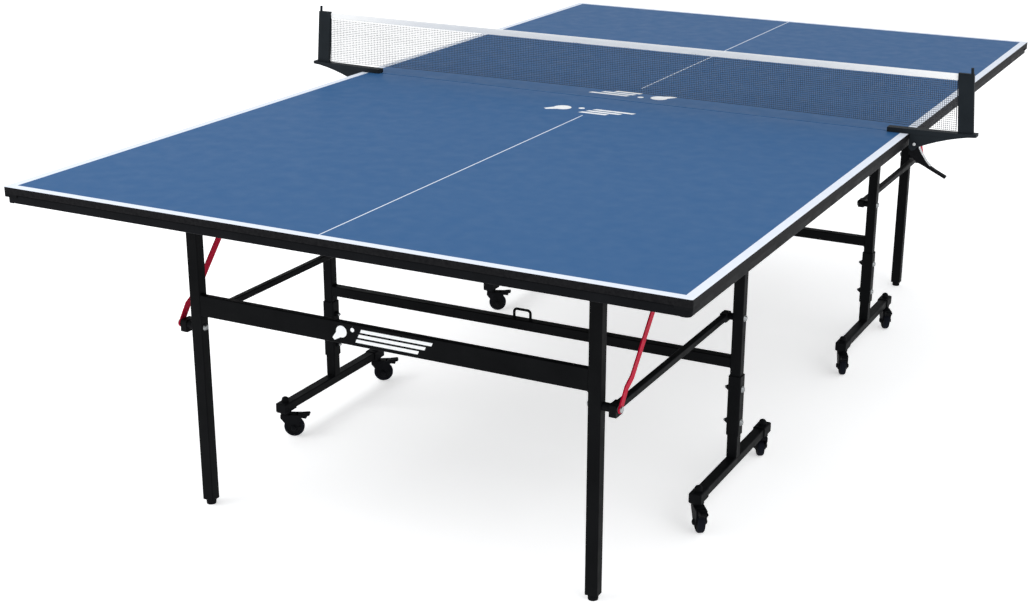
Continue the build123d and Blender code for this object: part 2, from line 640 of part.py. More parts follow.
def net_brackets():
    """Each net post with its arm over the table, two curved cheeks and the lever's pin."""
    z0 = TABLE_H + ARM_CLEAR
    tip_x = ARM_X[1]
    bend = (ARM_BEND_X, z0 + ARM_BEND_RISE)
    under = [(ARM_X[0], z0), (ARM_LEVEL_X, z0), bend, (tip_x, z0 + ARM_TIP_RISE)]
    over = [(x, arm_top(x)) for x in (tip_x, ARM_BEND_X, ARM_X[0])]
    arm = plate_y(under + over, -ARM_W / 2, ARM_W / 2)
    root_rise = (CHEEK_ROOT_X - ARM_BEND_X) / (tip_x - ARM_BEND_X) * (ARM_TIP_RISE - ARM_BEND_RISE)
    root = (CHEEK_ROOT_X, 0, z0 + ARM_BEND_RISE + root_rise)
    toe = (786, 0, 730)
    curve = ThreePointArc(root, (840, 0, 751), toe)
    rest = Polyline(toe, (780, 0, 723), (772, 0, 720), (765, 0, 727), (765, 0, z0),
                    (ARM_LEVEL_X, 0, z0), (bend[0], 0, bend[1]), root)
    cheek_in = CHEEK_GAP / 2
    cheek = extrude(Pos(0, cheek_in, 0) * make_face([curve, rest]), amount=CHEEK_T, dir=(0, 1, 0))
    pin_y = cheek_in + CHEEK_T + LEVER_PIN_PROUD
    pin = rod_y(-pin_y, pin_y, LEVER_PIVOT[0], LEVER_PIVOT[1], LEVER_PIN_R)
    cheek -= pin
    return mirrored([arm, net_post(), cheek, mirror(cheek, about=Plane.XZ), pin])


def clamp_lever(side):
    """Sprung clamp lever under one net arm: jaw by the table's edge, handle sloping out."""
    jaw = [(764.5, 712), (764.5, 743), (783, 745), (788, 737)]
    outer = [(788, 727), (796, 712), (808, 696), (818, 686), (834, 677), (858, 665.5)]
    inner = [(855.5, 660.5), (824, 675.5), (802, 686.5), (786, 693)]
    lever = plate_y(jaw + outer + inner, -LEVER_W / 2, LEVER_W / 2)
    lever -= rod_y(-LEVER_W, LEVER_W, LEVER_PIVOT[0], LEVER_PIVOT[1], LEVER_PIN_R + RUN_FIT)
    return lever if side > 0 else mirror(lever, about=Plane.YZ)


def build_half(half):
    tail = "_" + half
    keep("board" + tail, board(), half)
    keep("apron_rails" + tail, apron(), half)
    keep("corner_caps" + tail, corner_caps(), half)
    keep("under_frame" + tail, under_frame(), half)
    keep("hinge_pins" + tail, hinge_pins(), half)
    keep("chassis_frame" + tail, posts() + foot_bars(), half)
    keep("post_sleeves" + tail, post_sleeves(), half)
    keep("foot_end_caps" + tail, foot_end_caps(), half)
    keep("chassis_bolts" + tail, chassis_bolts(), half)
    keep("latch_loop" + tail, latch_loop(), half)
    keep("end_legs" + tail, end_legs(), half)
    keep("leg_bolts" + tail, leg_bolts(), half)
    keep("braces" + tail, braces(), half)
    keep("red_stays" + tail, red_stays(), half)
    keep("leveller" + tail + "_left", levellers(-1 if half == "a" else 1), half)
    keep("leveller" + tail + "_right", levellers(1 if half == "a" else -1), half)
    casters(half)


build_half("a")
build_half("b")
keep("net", net(), "a")
keep("net_brackets", net_brackets(), "a")
keep("clamp_lever_left", clamp_lever(-1), "a")
keep("clamp_lever_right", clamp_lever(1), "a")

os.makedirs("parts", exist_ok=True)
for name, shape in NODES.items():
    export_step(shape, "parts/" + name + ".step")
print(len(NODES), "nodes")
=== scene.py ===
import json
import math

import bpy
import numpy as np
from mathutils import Matrix, Vector


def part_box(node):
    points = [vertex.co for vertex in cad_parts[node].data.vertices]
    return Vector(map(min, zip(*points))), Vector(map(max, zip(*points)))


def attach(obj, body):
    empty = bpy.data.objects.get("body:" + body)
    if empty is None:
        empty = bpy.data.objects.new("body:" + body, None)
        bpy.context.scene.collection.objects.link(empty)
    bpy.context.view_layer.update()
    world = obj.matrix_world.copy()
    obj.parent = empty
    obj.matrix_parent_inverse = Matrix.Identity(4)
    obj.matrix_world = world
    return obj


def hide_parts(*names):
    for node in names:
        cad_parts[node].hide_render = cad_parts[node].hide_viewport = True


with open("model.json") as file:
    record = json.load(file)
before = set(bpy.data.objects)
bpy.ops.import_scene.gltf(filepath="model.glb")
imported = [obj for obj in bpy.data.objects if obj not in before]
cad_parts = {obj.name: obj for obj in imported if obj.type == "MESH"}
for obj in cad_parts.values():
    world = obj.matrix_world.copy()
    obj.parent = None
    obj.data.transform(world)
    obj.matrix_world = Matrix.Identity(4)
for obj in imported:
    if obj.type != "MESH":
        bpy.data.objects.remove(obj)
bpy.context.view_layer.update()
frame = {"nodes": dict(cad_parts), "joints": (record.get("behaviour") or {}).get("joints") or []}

# The looks of a folding table-tennis table. Lengths are in metres, in the frame of the CAD model:
# X along the net, Y along the table, Z up. Half "b" is half "a" turned half a turn about Z.

MM = 0.001
HALVES = ("a", "b")

# ---- Sizes of the CAD model's half a, right side ----
POST_X = 545 * MM
POST_Y = -522 * MM
TUBE = 25 * MM
LEG_X = 476 * MM
LEG_Y = -1125 * MM
LEG_W = 28 * MM
BAND_Y = (-1137 * MM, -1122 * MM)
BAND_Z = (453 * MM, 501 * MM)
CROSSBAR_Z = (305 * MM, 330 * MM)
FOOT_BAR_TOP = 88 * MM
LOOP_HALF = 21.7 * MM
CASTER_Y = (-735 * MM, -322 * MM)
BEARER_Y = (-1230 * MM, -985 * MM, -700 * MM, -280 * MM)
BEARER_LIFT = 1 * MM      # from the apron's lower edge to the bearers
SCREW_X = (80 * MM, 250 * MM, 420 * MM, 610 * MM, 710 * MM)
FORK_OUTER = 12.6 * MM

# ---- Camera ----
EYE = Vector((1.7212, -3.8329, 1.6706))
LOOK_AZIMUTH = math.radians(-26.153)
LOOK_DOWN = math.radians(-19.239)
ROLL = math.radians(0.577)
LENS = 58.0
SENSOR = 36.0
CLIP = (0.05, 100.0)
SHIFT = (-0.0406, -0.0018)


def make_camera():
    ahead = Vector((math.sin(LOOK_AZIMUTH) * math.cos(LOOK_DOWN),
                    math.cos(LOOK_AZIMUTH) * math.cos(LOOK_DOWN), math.sin(LOOK_DOWN)))
    right = ahead.cross(Vector((0, 0, 1))).normalized()
    up = right.cross(ahead)
    right_rolled = math.cos(ROLL) * right + math.sin(ROLL) * up
    up_rolled = math.cos(ROLL) * up - math.sin(ROLL) * right
    data = bpy.data.cameras.new("camera")
    data.lens = LENS
    data.sensor_width = SENSOR
    data.shift_x, data.shift_y = SHIFT
    data.clip_start, data.clip_end = CLIP
    camera = bpy.data.objects.new("camera", data)
    turn = Matrix((right_rolled, up_rolled, -ahead)).transposed().to_4x4()
    camera.matrix_world = Matrix.Translation(EYE) @ turn
    bpy.context.scene.collection.objects.link(camera)
    bpy.context.scene.camera = camera


make_camera()


# ---- Materials ----
class Shader:
    """A Principled material with short calls for the nodes that feed it."""

    def __init__(self, name, **sockets):
        self.material = bpy.data.materials.new(name)
        self.material.use_nodes = True
        self.tree = self.material.node_tree
        self.tree.nodes.clear()
        self.surface = self.tree.nodes.new("ShaderNodeBsdfPrincipled")
        output = self.tree.nodes.new("ShaderNodeOutputMaterial")
        self.tree.links.new(self.surface.outputs[0], output.inputs["Surface"])
        self.place = self.tree.nodes.new("ShaderNodeTexCoord").outputs["Object"]
        for socket, value in sockets.items():
            self.surface.inputs[socket.replace("_", " ")].default_value = value

    def feed(self, socket, value):
        if isinstance(value, bpy.types.NodeSocket):
            self.tree.links.new(value, socket)
        elif isinstance(value, tuple) and socket.type == "RGBA":
            socket.default_value = (*value, 1.0)
        else:
            socket.default_value = value

    def set(self, socket, value):
        self.feed(self.surface.inputs[socket], value)

    def math(self, operation, a, b=0.0, clamp=False):
        node = self.tree.nodes.new("ShaderNodeMath")
        node.operation = operation
        node.use_clamp = clamp
        self.feed(node.inputs[0], a)
        self.feed(node.inputs[1], b)
        return node.outputs[0]

    def axes(self, vector=None):
        node = self.tree.nodes.new("ShaderNodeSeparateXYZ")
        self.feed(node.inputs[0], vector or self.place)
        return node.outputs

    def stretch(self, scale):
        node = self.tree.nodes.new("ShaderNodeMapping")
        self.feed(node.inputs["Vector"], self.place)
        node.inputs["Scale"].default_value = scale
        return node.outputs[0]

    def noise(self, scale, detail=3.0, roughness=0.5, vector=None):
        node = self.tree.nodes.new("ShaderNodeTexNoise")
        self.feed(node.inputs["Vector"], vector or self.place)
        node.inputs["Scale"].default_value = scale
        node.inputs["Detail"].default_value = detail
        node.inputs["Roughness"].default_value = roughness
        return node.outputs["Fac"]

    def cells(self, scale, vector=None):
        node = self.tree.nodes.new("ShaderNodeTexVoronoi")
        self.feed(node.inputs["Vector"], vector or self.place)
        node.inputs["Scale"].default_value = scale
        return node.outputs["Distance"]

    def spread(self, value, from_low, from_high, to_low=0.0, to_high=1.0):
        node = self.tree.nodes.new("ShaderNodeMapRange")
        for socket, number in zip(node.inputs[:5], (value, from_low, from_high, to_low, to_high)):
            self.feed(socket, number)
        return node.outputs[0]

    def mix(self, share, a, b):
        node = self.tree.nodes.new("ShaderNodeMix")
        node.data_type = "RGBA"
        for socket, value in zip((node.inputs[0], node.inputs[6], node.inputs[7]), (share, a, b)):
            self.feed(socket, value)
        return node.outputs[2]

    def bump(self, height, strength, distance, round_edges=0.0):
        node = self.tree.nodes.new("ShaderNodeBump")
        self.feed(node.inputs["Height"], height)
        node.inputs["Strength"].default_value = strength
        node.inputs["Distance"].default_value = distance
        if round_edges:
            bevel = self.tree.nodes.new("ShaderNodeBevel")
            bevel.samples = 4
            bevel.inputs["Radius"].default_value = round_edges
            self.feed(node.inputs["Normal"], bevel.outputs[0])
        self.feed(self.surface.inputs["Normal"], node.outputs[0])


def between(s, value, low, high):
    """1 where value lies between two limits, 0 elsewhere."""
    return s.math("MULTIPLY", s.math("GREATER_THAN", value, low), s.math("LESS_THAN", value, high))


def board_paint(half):
    """Blue top with white edge lines and a thin centre line; black edges and underside."""
    lo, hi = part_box("board_" + half)
    s = Shader("board_paint_" + half, Specular_IOR_Level=0.05)
    x, y, z = s.axes()
    side = s.math("GREATER_THAN", s.math("ABSOLUTE", x), hi.x - LINE_W)
    far = max(abs(lo.y), abs(hi.y))
    end = s.math("GREATER_THAN", s.math("ABSOLUTE", y), far - LINE_W)
    start, stop = CENTRE_LINE[half]
    centre = s.math("MULTIPLY", s.math("LESS_THAN", s.math("ABSOLUTE", x), CENTRE_LINE_W / 2),
                    between(s, s.math("ABSOLUTE", y), start, stop))
    line = s.math("MAXIMUM", s.math("MAXIMUM", side, end), centre)
    cloud = s.noise(3.0, 4.0, 0.6)
    grain = s.noise(900.0, 2.0)
    blue = s.mix(s.spread(cloud, 0.3, 0.7), BLUE_DEEP, BLUE_PALE)
    blue = s.mix(s.spread(grain, 0.35, 0.75, 0.0, 0.10), blue, BLUE_DUST)
    white = s.mix(s.spread(s.noise(60.0, 4.0), 0.4, 0.75, 0.0, 0.35), LINE_WHITE, LINE_GREY)
    top = s.mix(line, blue, white)
    under = s.mix(s.spread(s.noise(140.0, 5.0, 0.7), 0.35, 0.7), UNDER_DARK, UNDER_LIGHT)
    seam = s.math("MULTIPLY", s.math("LESS_THAN", s.math("ABSOLUTE", y), SEAM_Y),
                  s.math("GREATER_THAN", z, hi.z - SEAM_PAINT))
    on_top = s.math("MAXIMUM", s.math("GREATER_THAN", z, hi.z - TOP_PAINT), seam)
    s.set("Base Color", s.mix(on_top, under, top))
    rough_top = s.spread(s.noise(25.0, 4.0), 0.3, 0.7, 0.42, 0.52)
    s.set("Roughness", s.spread(on_top, 0.0, 1.0, 0.6, rough_top))
    step = s.math("MULTIPLY", s.math("MULTIPLY", line, on_top), 0.6)
    s.bump(s.math("ADD", s.math("MULTIPLY", grain, 0.25), step), 0.2, 0.12 * MM)
    return s.material


def powder_coat(name, dark, light):
    """Stoved powder paint: fine orange peel, slight cloudiness and small light specks."""
    s = Shader(name, Specular_IOR_Level=0.03)
    cloud = s.noise(9.0, 5.0, 0.6)
    fleck = s.noise(420.0, 3.0, 0.6)
    colour = s.mix(s.spread(cloud, 0.3, 0.72), dark, light)
    speck = tuple(c * 2.2 + 0.01 for c in light)
    colour = s.mix(s.spread(fleck, 0.62, 0.85, 0.0, 0.35), colour, speck)
    s.set("Base Color", colour)
    s.set("Roughness", s.spread(s.noise(30.0, 4.0), 0.3, 0.7, 0.42, 0.56))
    s.bump(s.noise(650.0, 2.0), 0.12, 0.4 * MM, round_edges=0.9 * MM)
    return s.material


def moulded(name, dark, light, grain=900.0, specular=0.04, roughness=(0.45, 0.62)):
    """Moulded plastic or rubber with a fine spark-eroded grain."""
    s = Shader(name, Specular_IOR_Level=specular)
    spark = s.cells(grain)
    s.set("Base Color", s.mix(s.spread(s.noise(14.0, 4.0), 0.3, 0.7), dark, light))
    s.set("Roughness", s.spread(spark, 0.1, 0.6, *roughness))
    s.bump(spark, 0.18, 0.25 * MM, round_edges=0.8 * MM)
    return s.material


def plated(name, dark, light, roughness=(0.22, 0.42)):
    """Zinc or spring steel: brushed, with a faint stain."""
    s = Shader(name, Metallic=1.0)
    brushed = s.noise(120.0, 4.0, 0.6, s.stretch((1.0, 14.0, 14.0)))
    s.set("Base Color", s.mix(s.spread(s.noise(60.0, 4.0), 0.3, 0.7), dark, light))
    s.set("Roughness", s.spread(brushed, 0.3, 0.7, *roughness))
    s.bump(brushed, 0.06, 0.2 * MM, round_edges=0.5 * MM)
    return s.material


def woven(name, dark, light, pitch):
    """Narrow woven tape: two sets of threads crossing at the given pitch."""
    s = Shader(name, Roughness=0.85, Specular_IOR_Level=0.15, Sheen_Weight=0.25)
    x, y, z = s.axes()
    turn = 2 * math.pi / pitch
    warp = s.math("SINE", s.math("MULTIPLY", x, turn))
    weft = s.math("SINE", s.math("MULTIPLY", z, turn))
    thread = s.spread(s.math("MULTIPLY", warp, weft), -1.0, 1.0)
    soft = s.math("ADD", s.math("MULTIPLY", thread, 0.7), s.math("MULTIPLY", s.noise(500.0, 4.0), 0.3))
    s.set("Base Color", s.mix(soft, dark, light))
    s.bump(soft, 0.35, 0.3 * MM)
    return s.material


def twisted(name, dark, light):
    """Twisted nylon yarn."""
    s = Shader(name, Roughness=0.62, Specular_IOR_Level=0.2, Sheen_Weight=0.1)
    x, y, z = s.axes()
    along = s.math("ADD", s.math("ADD", x, z), y)
    twist = s.math("SINE", s.math("MULTIPLY", along, 2 * math.pi / YARN_TWIST))
    lay = s.spread(twist, -1.0, 1.0)
    shade = s.math("ADD", s.math("MULTIPLY", lay, 0.6), s.math("MULTIPLY", s.noise(40.0), 0.4))
    s.set("Base Color", s.mix(shade, dark, light))
    s.bump(lay, 0.4, 0.2 * MM)
    return s.material


def print_ink(name, dark, light):
    """Screen-printed ink: nearly white, with thin patches."""
    s = Shader(name, Specular_IOR_Level=0.25)
    s.set("Base Color", s.mix(s.spread(s.noise(160.0, 5.0, 0.65), 0.32, 0.62), dark, light))
    s.set("Roughness", s.spread(s.noise(300.0), 0.3, 0.7, 0.45, 0.62))
    s.bump(s.noise(1100.0, 2.0), 0.2, 0.1 * MM)
    return s.material


def red_and_nut(split):
    """Red powder coat on the strip, plated steel on the nut outside it."""
    s = Shader("red_strip_and_nut", Specular_IOR_Level=0.05)
    x, y, z = s.axes()
    nut = s.math("GREATER_THAN", s.math("ABSOLUTE", x), split)
    cloud = s.spread(s.noise(14.0, 5.0, 0.6), 0.3, 0.72)
    red = s.mix(cloud, RED_DEEP, RED_BRIGHT)
    red = s.mix(s.spread(s.noise(420.0), 0.66, 0.9, 0.0, 0.25), red, RED_FLECK)
    s.set("Base Color", s.mix(nut, red, ZINC_LIGHT))
    s.set("Metallic", nut)
    s.set("Roughness", s.spread(s.noise(40.0, 4.0), 0.3, 0.7, 0.34, 0.5))
    s.bump(s.noise(650.0, 2.0), 0.1, 0.4 * MM, round_edges=0.6 * MM)
    return s.material


BLUE_DEEP = (0.0299, 0.1096, 0.2640)
BLUE_PALE = (0.0309, 0.1119, 0.2680)
BLUE_DUST = (0.050, 0.135, 0.300)
LINE_WHITE = (0.80, 0.85, 0.94)
LINE_GREY = (0.69, 0.75, 0.86)
RED_DEEP = (0.38, 0.002, 0.024)
RED_BRIGHT = (0.52, 0.004, 0.037)
RED_FLECK = (0.66, 0.04, 0.08)
UNDER_DARK = (0.004, 0.004, 0.005)
UNDER_LIGHT = (0.011, 0.011, 0.012)
ZINC_DARK = (0.20, 0.21, 0.215)
ZINC_LIGHT = (0.37, 0.385, 0.39)
LINE_W = 20 * MM
TOP_PAINT = 0.2 * MM       # how far down the top's paint reaches elsewhere
SEAM_PAINT = 5 * MM        # and down the edges that meet under the net
SEAM_Y = 3 * MM            # those edges lie within this of the net line
YARN_TWIST = 1.3 * MM
CENTRE_LINE_W = 3 * MM
CENTRE_LINE = {"a": (0.204, 1.360), "b": (0.159, 1.360)}

BLACK_STEEL = powder_coat("black_powder_coat", (0.0030, 0.0033, 0.0038), (0.0056, 0.0060, 0.0067))
APRON_STEEL = powder_coat("apron_powder_coat", (0.0042, 0.0046, 0.0056), (0.0074, 0.0080, 0.0094))
BLACK_PLASTIC = moulded("black_plastic", (0.0034, 0.0037, 0.0044), (0.0066, 0.0070, 0.0082))
NET_POST = moulded("net_post_plastic", (0.0078, 0.0110, 0.0140), (0.0125, 0.0165, 0.0205), grain=700.0,
                   specular=0.09)
FORK_PLASTIC = moulded("fork_nylon", (0.0036, 0.0038, 0.0048), (0.0072, 0.0076, 0.0092), grain=1100.0)
TREAD = moulded("wheel_tread", (0.0048, 0.0056, 0.0090), (0.0088, 0.0100, 0.0150), grain=1500.0,
                roughness=(0.55, 0.75))
HUB = moulded("wheel_hub", (0.0075, 0.0078, 0.0090), (0.0140, 0.0145, 0.0165), grain=900.0)
ZINC = plated("zinc_plate", ZINC_DARK, ZINC_LIGHT)
SPRING = plated("spring_steel", (0.50, 0.52, 0.53), (0.74, 0.76, 0.77), (0.18, 0.32))
TAPE = woven("net_tape", (0.80, 0.80, 0.79), (0.95, 0.95, 0.94), 0.8 * MM)
STITCH = twisted("tape_thread", (0.62, 0.62, 0.62), (0.84, 0.84, 0.83))
YARN = twisted("net_yarn", (0.012, 0.014, 0.020), (0.030, 0.034, 0.046))
INK = print_ink("print_white", (0.84, 0.86, 0.88), (0.95, 0.96, 0.97))


def paint(node, *materials):
    mesh = frame["nodes"][node].data
    mesh.materials.clear()
    for material in materials:
        mesh.materials.append(material)


def paint_where(node, first, second, chosen):
    """Paints a node with the first material, and with the second where chosen(centre) is true."""
    paint(node, first, second)
    thing = frame["nodes"][node]
    for polygon in thing.data.polygons:
        polygon.material_index = int(chosen(thing.matrix_world @ polygon.center))


def from_line(point, anchor, axis):
    """How far a point lies from a line."""
    offset = point - Vector(anchor)
    along = Vector(axis).normalized()
    return (offset - offset.dot(along) * along).length


JOINTS = {joint["name"]: joint for joint in frame["joints"]}
CASTERS = [name[len("wheel_spin_"):] for name in JOINTS if name.startswith("wheel_spin_")]
STAY_NUT_T = 3.4 * MM
SPACER = (490.5 * MM, 506.0 * MM)      # the leg bolts' spacers, from the middle
COLLAR = (522.2 * MM, 532.5 * MM)      # the brace bolts' collars
PAD_TOP = 11.8 * MM
LEVER_PIN_R = 3.2 * MM
LEVER_PIN_IN = 10 * MM
AXLE_R = 4.3 * MM
HUB_R = 18.5 * MM
for half in HALVES:
    paint("board_" + half, board_paint(half))
    paint("apron_rails_" + half, APRON_STEEL)
    for name in ("under_frame", "chassis_frame", "post_sleeves", "latch_loop", "end_legs", "braces"):
        paint(name + "_" + half, BLACK_STEEL)
    for name in ("corner_caps", "foot_end_caps"):
        paint(name + "_" + half, BLACK_PLASTIC)
    paint("hinge_pins_" + half, ZINC)
    paint_where("leg_bolts_" + half, ZINC, BLACK_PLASTIC, lambda c: SPACER[0] < abs(c.x) < SPACER[1])
    paint_where("chassis_bolts_" + half, ZINC, BLACK_PLASTIC, lambda c: COLLAR[0] < abs(c.x) < COLLAR[1])
    for side in ("left", "right"):
        paint_where("leveller_" + half + "_" + side, BLACK_PLASTIC, ZINC, lambda c: c.z > PAD_TOP)
    paint("red_stays_" + half, red_and_nut(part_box("red_stays_" + half)[1].x - STAY_NUT_T + 0.1 * MM))
LEVER_PIVOT = Vector(JOINTS["clamp_lever_right"]["pos_m"])


def on_lever_pin(centre):
    """True on the ends of the pins that the clamp levers turn on."""
    side = Vector((abs(centre.x), centre.y, centre.z))
    return from_line(side, LEVER_PIVOT, (0, 1, 0)) < LEVER_PIN_R and abs(centre.y) > LEVER_PIN_IN


paint_where("net_brackets", NET_POST, SPRING, on_lever_pin)
paint("clamp_lever_left", BLACK_PLASTIC)
paint("clamp_lever_right", BLACK_PLASTIC)
for tail in CASTERS:
    spin = JOINTS["wheel_spin_" + tail]
    axle = (spin["pos_m"], spin["axis"])
    paint_where("caster_fork_" + tail, FORK_PLASTIC, ZINC, lambda c: from_line(c, *axle) < AXLE_R)
    paint_where("caster_wheel_" + tail, TREAD, HUB, lambda c: from_line(c, *axle) < HUB_R)
    paint("caster_brake_" + tail, FORK_PLASTIC)


# ---- Mesh helpers ----
def add_piece(name, points, faces, material, body, smooth=True):
    mesh = bpy.data.meshes.new(name)
    mesh.from_pydata([tuple(p) for p in points], [], faces)
    mesh.validate()
    mesh.materials.append(material)
    for polygon in mesh.polygons:
        polygon.use_smooth = smooth
    if smooth:
        mesh.set_sharp_from_angle(angle=math.radians(40))
    piece = bpy.data.objects.new(name, mesh)
    bpy.context.scene.collection.objects.link(piece)
    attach(piece, body)
    return piece


class Solid:
    """Collects the points and faces of the closed forms that make one piece."""

    def __init__(self):
        self.points, self.faces = [], []

    def add(self, points, faces):
        start = len(self.points)
        self.points += [tuple(float(c) for c in p) for p in points]
        self.faces += [tuple(start + i for i in face) for face in faces]

    def rings(self, rings, closed=False, caps=True):
        """Joins equal rings of points into a skin."""
        count, sides = len(rings), len(rings[0])
        faces = []
        for i in range(count if closed else count - 1):
            a, b = i * sides, ((i + 1) % count) * sides
            for j in range(sides):
                k = (j + 1) % sides
                faces.append((a + j, a + k, b + k, b + j))
        if caps and not closed:
            faces.append(tuple(reversed(range(sides))))
            faces.append(tuple(range((count - 1) * sides, count * sides)))
        self.add([p for ring in rings for p in ring], faces)

    def turned(self, profile, base, axis, sides=20):
        """A turned form: profile of (distance along the axis, radius) from its foot to its tip."""
        axis = Vector(axis).normalized()
        u = axis.orthogonal().normalized()
        v = axis.cross(u)
        rings = []
        for along, radius in profile:
            centre = Vector(base) + axis * along
            rings.append([centre + (u * math.cos(t) + v * math.sin(t)) * radius
                          for t in (2 * math.pi * k / sides for k in range(sides))])
        self.rings(rings)

    def tube(self, path, radius, sides=8, closed=False):
        """A round bar along a path; radius is a number, or one for each point."""
        count = len(path)
        points = [Vector(p) for p in path]
        radii = [radius] * count if isinstance(radius, float) else radius
        normal = None
        rings = []
        for i, p in enumerate(points):
            before = points[i - 1] if (i or closed) else p
            after = points[(i + 1) % count] if (i < count - 1 or closed) else p
            along = (after - before).normalized()
            if normal is None:
                normal = along.orthogonal().normalized()
            normal = (normal - along * normal.dot(along)).normalized()
            other = along.cross(normal)
            rings.append([p + (normal * math.cos(t) + other * math.sin(t)) * radii[i]
                          for t in (2 * math.pi * k / sides for k in range(sides))])
        self.rings(rings, closed=closed)

    def slab(self, outline, thickness, place):
        """A flat form from an outline of (u, v); place(u, v, w) puts its points in the frame."""
        self.rings([[place(u, v, 0.0) for u, v in outline], [place(u, v, thickness) for u, v in outline]])

    def piece(self, name, material, body, slot, smooth=True):
        return add_piece(name, self.points, self.faces, material, body, smooth)


def half_turn(point, half):
    """A point of half a, or its place on half b."""
    x, y, z = point
    return (x, y, z) if half == "a" else (-x, -y, z)


# ---- Printed motif: a bat, a ball and three slanted bars ----
def arc(cx, cy, radius, start, stop, steps):
    """Points along an arc between two angles in degrees."""
    angles = [math.radians(start + (stop - start) * k / steps) for k in range(steps + 1)]
    return [(cx + radius * math.cos(t), cy + radius * math.sin(t)) for t in angles]


def motif(width, height):
    """Outlines in a frame centred on the motif, v up."""
    r = 0.36 * height
    cx, cy = -width / 2 + 0.55 * height, 0.08 * height
    blade = arc(cx, cy, r, -100, 190, 36)
    neck = [(cx - 0.62 * height, -0.36 * height), (cx - 0.48 * height, -0.5 * height)]
    bat = blade + neck
    ball = arc(cx + 0.75 * height, 0.30 * height, 0.13 * height, 0, 345, 23)
    bars = []
    left = cx + 1.1 * height
    for k, (v0, v1) in enumerate(((0.22, 0.42), (-0.10, 0.10), (-0.42, -0.22))):
        start = left + 0.16 * height * (1 - k)
        stop = width / 2 - 0.45 * height * k
        lean = 0.22 * height * (v1 - v0)
        bars.append([(start, v0 * height), (stop - 2 * lean, v0 * height),
                     (stop, v1 * height), (start + 2 * lean, v1 * height)])
    return [bat, ball] + bars


INK_T = 0.12 * MM
TOP_MOTIF = (226 * MM, 62 * MM)
TOP_MOTIF_AT = {"a": (-4 * MM, -151 * MM), "b": (-9 * MM, -75 * MM)}
BAND_MOTIF = (238 * MM, 36 * MM)
BAND_MOTIF_X = -2 * MM
for half in HALVES:
    board_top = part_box("board_" + half)[1].z
    across, along = TOP_MOTIF_AT[half]
    top = Solid()
    for outline in motif(*TOP_MOTIF):
        top.slab(outline, INK_T, lambda u, v, w: half_turn((across + u, along + v, board_top + w), half))
    top.piece("motif_top_" + half, INK, "tabletop_" + half, "playing_board", smooth=False)

    mark = Solid()
    band_mid = sum(BAND_Z) / 2
    for outline in motif(*BAND_MOTIF):
        mark.slab(outline, INK_T,
                  lambda u, v, w: half_turn((BAND_MOTIF_X + u, BAND_Y[0] - w, band_mid + v), half))
    mark.piece("motif_band_" + half, INK, "leg_frame_" + half, "black_steel", smooth=False)


# ---- Net: knotted yarn, folded tape with stitching, hem cord ----
net_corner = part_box("net")[1]
NET_TOP = net_corner.z
TAPE_H = 16 * MM
TAPE_LOW = NET_TOP - TAPE_H
TAPE_HALF_T = 1.0 * MM
NET_LOW = 777.4 * MM      # lower edge beside the posts
NET_BOW = 6.6 * MM        # how much higher it is at the middle
MESH_PITCH = 4.8 * MM
YARN_R = 0.46 * MM
YARN_WAVE = 0.30 * MM     # how far yarns pass in front of and behind each other
HEM_R = 0.55 * MM
SIDE_HEM_R = 0.6 * MM
TOP_HALF = 865.5 * MM
LEAN = (net_corner.x - 0.3 * MM - TOP_HALF) / (NET_TOP - NET_LOW)
FOOT_HALF = TOP_HALF + LEAN * (NET_TOP - NET_LOW)


def net_half_width(z):
    """Half the net's width at a height: the posts lean outwards towards the arms."""
    return TOP_HALF + LEAN * (NET_TOP - z)


def net_floor(x):
    """Lowest height of the net at x: its lower edge bows up a little between the posts."""
    return NET_LOW + NET_BOW * (1 - (x / FOOT_HALF) ** 2)


